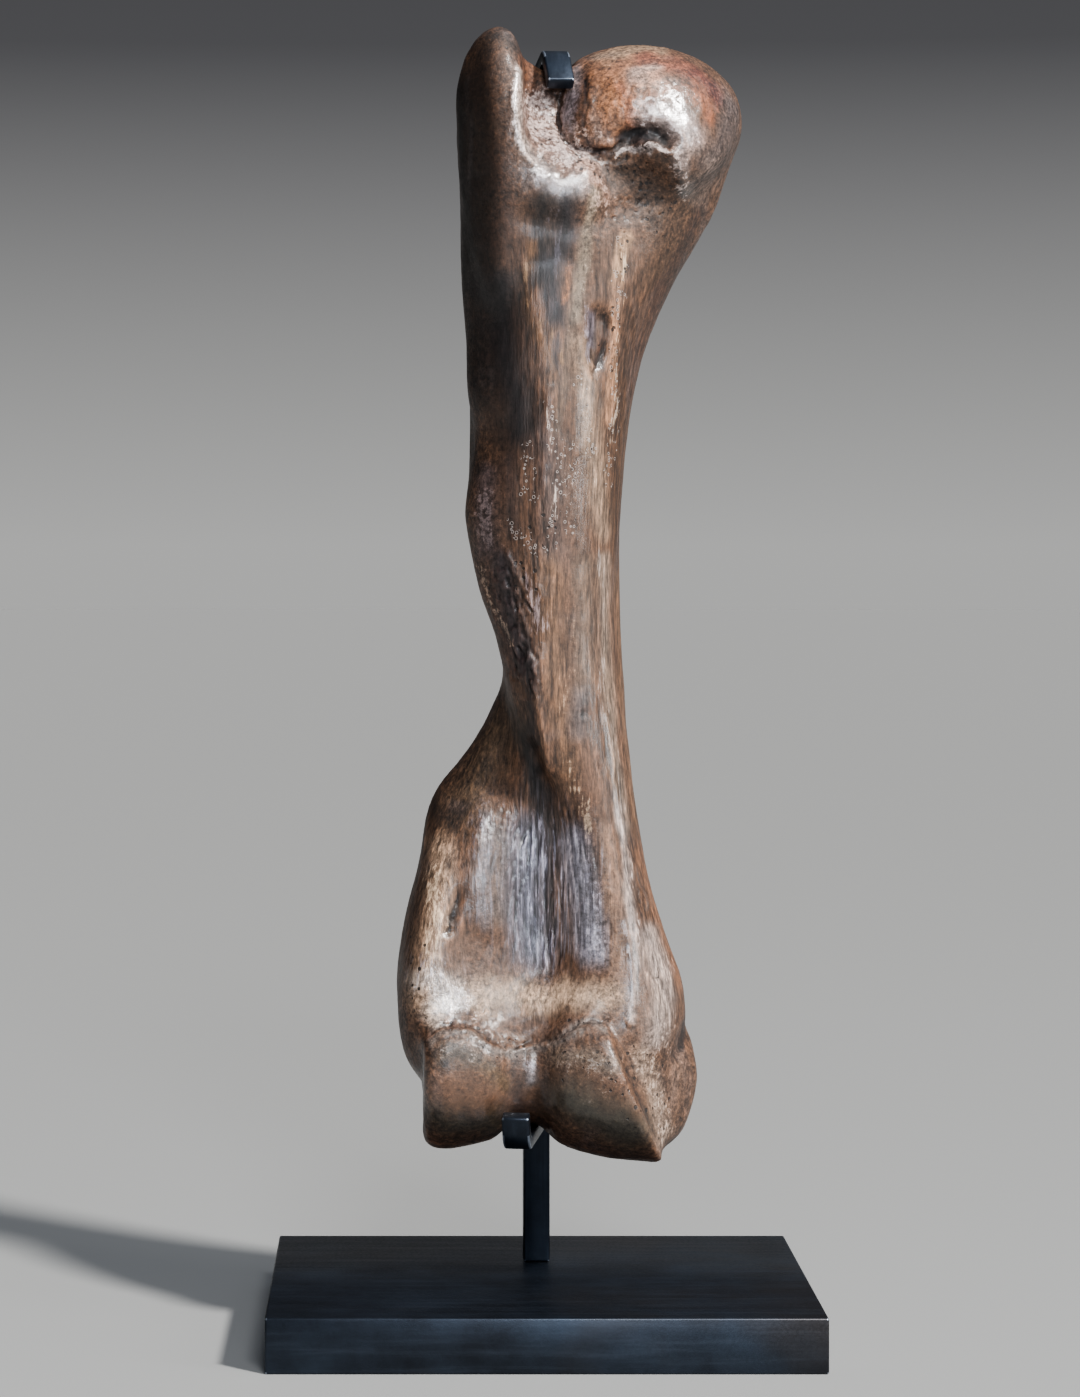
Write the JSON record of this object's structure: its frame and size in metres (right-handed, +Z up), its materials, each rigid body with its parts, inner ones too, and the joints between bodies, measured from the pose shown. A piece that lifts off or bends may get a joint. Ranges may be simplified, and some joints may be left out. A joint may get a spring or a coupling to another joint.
{
  "type": "fossil mammoth leg bone on a stand",
  "caption": "Fossil mammoth humerus standing upright, its elbow end in one steel hook and its top held by another, on a post rising from a low rectangular base.",
  "frame": {"origin": "middle of the underside of the stand's base", "axes": "+Z up along the bone, the bone's front towards -Y, its round head towards +X"},
  "size_m": [0.4, 0.3, 0.9722],
  "materials": {
    "fossil_bone": "satin",
    "blackened_steel": "satin"
  },
  "bodies": {
    "root": {"base": "blackened_steel", "post": "blackened_steel", "lower_hook": "blackened_steel", "upper_hook": "blackened_steel", "bone": "fossil_bone"}
  },
  "joints": []
}
